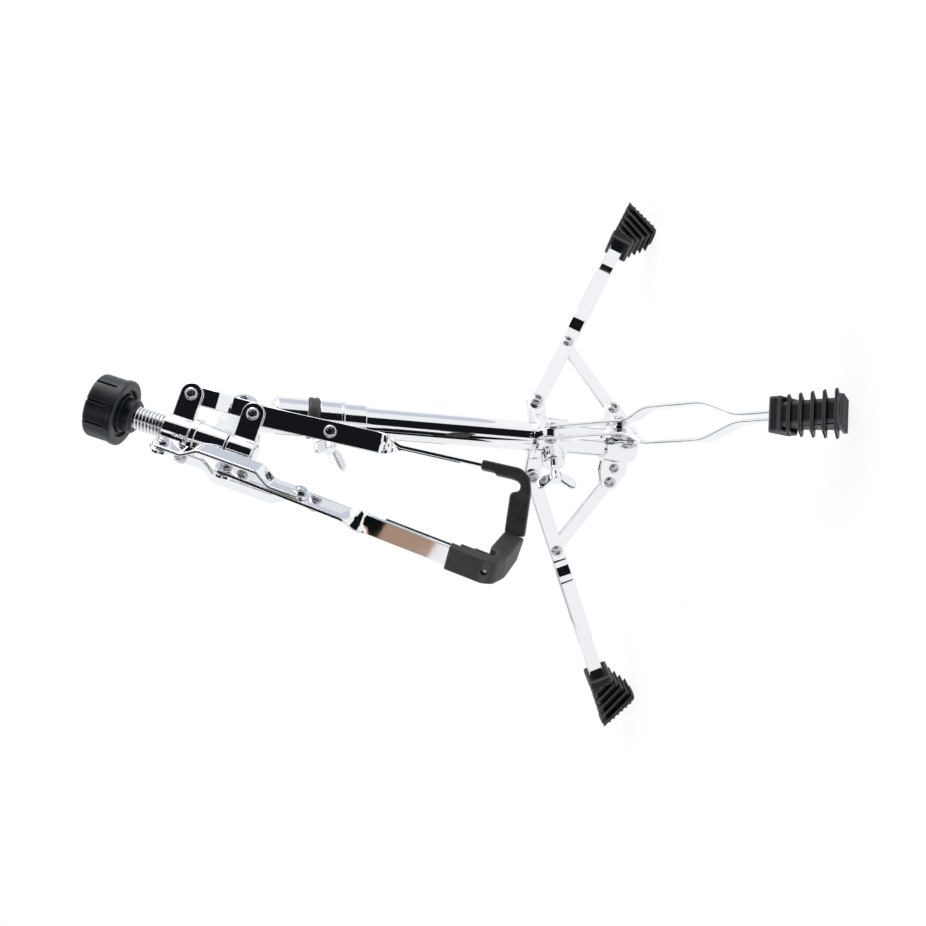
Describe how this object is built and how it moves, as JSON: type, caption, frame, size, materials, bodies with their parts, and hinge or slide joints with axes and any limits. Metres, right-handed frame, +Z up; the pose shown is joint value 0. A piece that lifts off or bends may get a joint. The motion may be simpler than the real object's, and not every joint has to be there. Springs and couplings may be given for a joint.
{
  "type": "snare drum stand",
  "caption": "Folding chrome snare drum stand: tripod base, telescoping tube and a tilting three-arm hook basket with rubber grips, folded down beside the tube.",
  "frame": {"origin": "on the floor under the axis of the main tube, with the legs spread", "axes": "+Z up along the tube, -Y along the front leg, +X to the right seen from the front"},
  "size_m": [0.4598, 0.3995, 0.451],
  "materials": {
    "chrome": "mirror chrome plate",
    "cast_chrome": "chromed casting",
    "black_rubber": "matte rubber",
    "black_plastic": "satin plastic",
    "screw_steel": "plated steel"
  },
  "bodies": {
    "base": {"lower_tube": "chrome", "height_clamp": "cast_chrome", "stay_collar": "chrome", "collar_bolts": "screw_steel", "stay_pins": "screw_steel"},
    "height_wing": {"height_wing": "cast_chrome"},
    "slide_ring": {"buffer_ring": "black_rubber"},
    "post": {"upper_tube": "chrome", "tilter_base": "cast_chrome", "tilt_bolt": "screw_steel"},
    "tilt_wing": {"tilt_wing": "cast_chrome"},
    "basket": {"basket_bracket": "cast_chrome", "basket_rod": "chrome", "arm_hub": "cast_chrome", "arm_hinge_bolts": "screw_steel"},
    "slider": {"slider_hub": "cast_chrome", "slider_bolts": "screw_steel"},
    "knob_collar": {"knob_collar": "black_plastic"},
    "knob": {"knob": "black_plastic"},
    "leg_hub": {"leg_hub": "cast_chrome", "hub_pins": "screw_steel"},
    "hub_wing": {"hub_wing": "cast_chrome"},
    "arm_1": {"arm_1": "chrome", "grip_1": "black_rubber", "arm_1_pin": "screw_steel"},
    "link_1": {"link_1": "chrome", "link_1_nut": "screw_steel"},
    "arm_2": {"arm_2": "chrome", "grip_2": "black_rubber", "arm_2_pin": "screw_steel"},
    "link_2": {"link_2": "chrome", "link_2_nut": "screw_steel"},
    "arm_3": {"arm_3": "chrome", "grip_3": "black_rubber", "arm_3_pin": "screw_steel"},
    "link_3": {"link_3": "chrome", "link_3_nut": "screw_steel"},
    "leg_front": {"leg_front_strip_a": "chrome", "leg_front_strip_b": "chrome", "leg_front_pin": "screw_steel", "leg_front_foot": "black_rubber"},
    "stay_front": {"stay_front": "chrome"},
    "leg_right": {"leg_right_strip_a": "chrome", "leg_right_strip_b": "chrome", "leg_right_pin": "screw_steel", "leg_right_foot": "black_rubber"},
    "stay_right": {"stay_right": "chrome"},
    "leg_left": {"leg_left_strip_a": "chrome", "leg_left_strip_b": "chrome", "leg_left_pin": "screw_steel", "leg_left_foot": "black_rubber"},
    "stay_left": {"stay_left": "chrome"}
  },
  "joints": [
    {"name": "stay_front_fold", "type": "hinge", "parent": "base", "child": "stay_front", "pos_m": [0, -0.0316, 0.06285], "axis": [-1, 0, 0], "range_deg": [0, 58]},
    {"name": "leg_front_fold", "type": "hinge", "parent": "stay_front", "child": "leg_front", "pos_m": [0, -0.09353, 0.09372], "axis": [1, 0, 0], "range_deg": [0, 116.05]},
    {"name": "stay_right_fold", "type": "hinge", "parent": "base", "child": "stay_right", "pos_m": [0.02737, 0.0158, 0.06285], "axis": [0.5, -0.866, 0], "range_deg": [0, 58.05]},
    {"name": "leg_right_fold", "type": "hinge", "parent": "stay_right", "child": "leg_right", "pos_m": [0.081, 0.04676, 0.09372], "axis": [-0.5, 0.866, 0], "range_deg": [0, 116.05]},
    {"name": "stay_left_fold", "type": "hinge", "parent": "base", "child": "stay_left", "pos_m": [-0.02737, 0.0158, 0.06285], "axis": [0.5, 0.866, 0], "range_deg": [0, 58.05]},
    {"name": "leg_left_fold", "type": "hinge", "parent": "stay_left", "child": "leg_left", "pos_m": [-0.081, 0.04676, 0.09372], "axis": [-0.5, -0.866, 0], "range_deg": [0, 116.05]},
    {"name": "hub_level", "type": "hinge", "parent": "leg_front", "child": "leg_hub", "pos_m": [0, -0.0316, 0.1246], "axis": [-1, 0, 0], "range_deg": [0, 58.05]},
    {"name": "hub_wing_turn", "type": "hinge", "parent": "leg_hub", "child": "hub_wing", "pos_m": [-0.02544, -0.0159, 0.1156], "axis": [-0.848, -0.5299, 0], "range_deg": [0, 360]},
    {"name": "height_wing_turn", "type": "hinge", "parent": "base", "child": "height_wing", "pos_m": [-0.02023, -0.01469, 0.2825], "axis": [-0.809, -0.5878, 0], "range_deg": [0, 360]},
    {"name": "height_slide", "type": "slide", "parent": "base", "child": "slide_ring", "axis": [0, 0, 1], "range_m": [0, 0.15]},
    {"name": "post_swivel", "type": "hinge", "parent": "slide_ring", "child": "post", "pos_m": [0, 0, 0.295], "axis": [0, 0, 1], "range_deg": [-6, 6]},
    {"name": "tilt_wing_turn", "type": "hinge", "parent": "post", "child": "tilt_wing", "pos_m": [-0.00674, 0.00655, 0.3451], "axis": [-0.7169, 0.6972, 0], "range_deg": [0, 360]},
    {"name": "basket_tilt", "type": "hinge", "parent": "post", "child": "basket", "pos_m": [0, 0, 0.3451], "axis": [-0.7169, 0.6972, 0], "range_deg": [0, 158]},
    {"name": "arm_1_open", "type": "hinge", "parent": "basket", "child": "arm_1", "pos_m": [-0.00696, -0.05234, 0.33846], "axis": [-0.0165, -0.9599, 0.2798], "range_deg": [0, 51.05]},
    {"name": "link_1_fold", "type": "hinge", "parent": "arm_1", "child": "link_1", "pos_m": [-0.01589, -0.06696, 0.28778], "axis": [0.0165, 0.9599, -0.2798], "range_deg": [0, 27.18]},
    {"name": "arm_2_open", "type": "hinge", "parent": "basket", "child": "arm_2", "pos_m": [-0.04617, -0.07109, 0.35477], "axis": [-0.8281, 0.556, 0.0715], "range_deg": [0, 51.05]},
    {"name": "link_2_fold", "type": "hinge", "parent": "arm_2", "child": "link_2", "pos_m": [-0.06246, -0.08923, 0.30715], "axis": [0.8281, -0.556, -0.0715], "range_deg": [0, 27.18]},
    {"name": "arm_3_open", "type": "hinge", "parent": "basket", "child": "arm_3", "pos_m": [-0.04541, -0.02653, 0.34178], "axis": [0.8446, 0.4039, -0.3513], "range_deg": [0, 51.05]},
    {"name": "link_3_fold", "type": "hinge", "parent": "arm_3", "child": "link_3", "pos_m": [-0.06155, -0.0363, 0.29172], "axis": [-0.8446, -0.4039, 0.3513], "range_deg": [0, 27.18]},
    {"name": "slider_travel", "type": "slide", "parent": "basket", "child": "slider", "axis": [0.2589, 0.2662, 0.9285], "range_m": [0, 0.01317]},
    {"name": "knob_travel", "type": "slide", "parent": "basket", "child": "knob_collar", "axis": [0.2589, 0.2662, 0.9285], "range_m": [0, 0.012]},
    {"name": "knob_turn", "type": "hinge", "parent": "knob_collar", "child": "knob", "pos_m": [-0.01097, -0.02749, 0.42346], "axis": [0.2589, 0.2662, 0.9285], "range_deg": [0, 1728.05]}
  ],
  "couplings": [
    {"joint": "leg_front_fold", "follows": "stay_front_fold", "ratio": 2},
    {"joint": "stay_right_fold", "follows": "stay_front_fold", "ratio": 1},
    {"joint": "leg_right_fold", "follows": "stay_front_fold", "ratio": 2},
    {"joint": "stay_left_fold", "follows": "stay_front_fold", "ratio": 1},
    {"joint": "leg_left_fold", "follows": "stay_front_fold", "ratio": 2},
    {"joint": "hub_level", "follows": "stay_front_fold", "ratio": 1},
    {"joint": "arm_1_open", "follows": "slider_travel", "rad_per_m": 67.559},
    {"joint": "link_1_fold", "follows": "slider_travel", "rad_per_m": 35.946},
    {"joint": "arm_2_open", "follows": "slider_travel", "rad_per_m": 67.559},
    {"joint": "link_2_fold", "follows": "slider_travel", "rad_per_m": 35.946},
    {"joint": "arm_3_open", "follows": "slider_travel", "rad_per_m": 67.559},
    {"joint": "link_3_fold", "follows": "slider_travel", "rad_per_m": 35.946},
    {"joint": "knob_turn", "follows": "knob_travel", "rad_per_m": 2513.3}
  ]
}
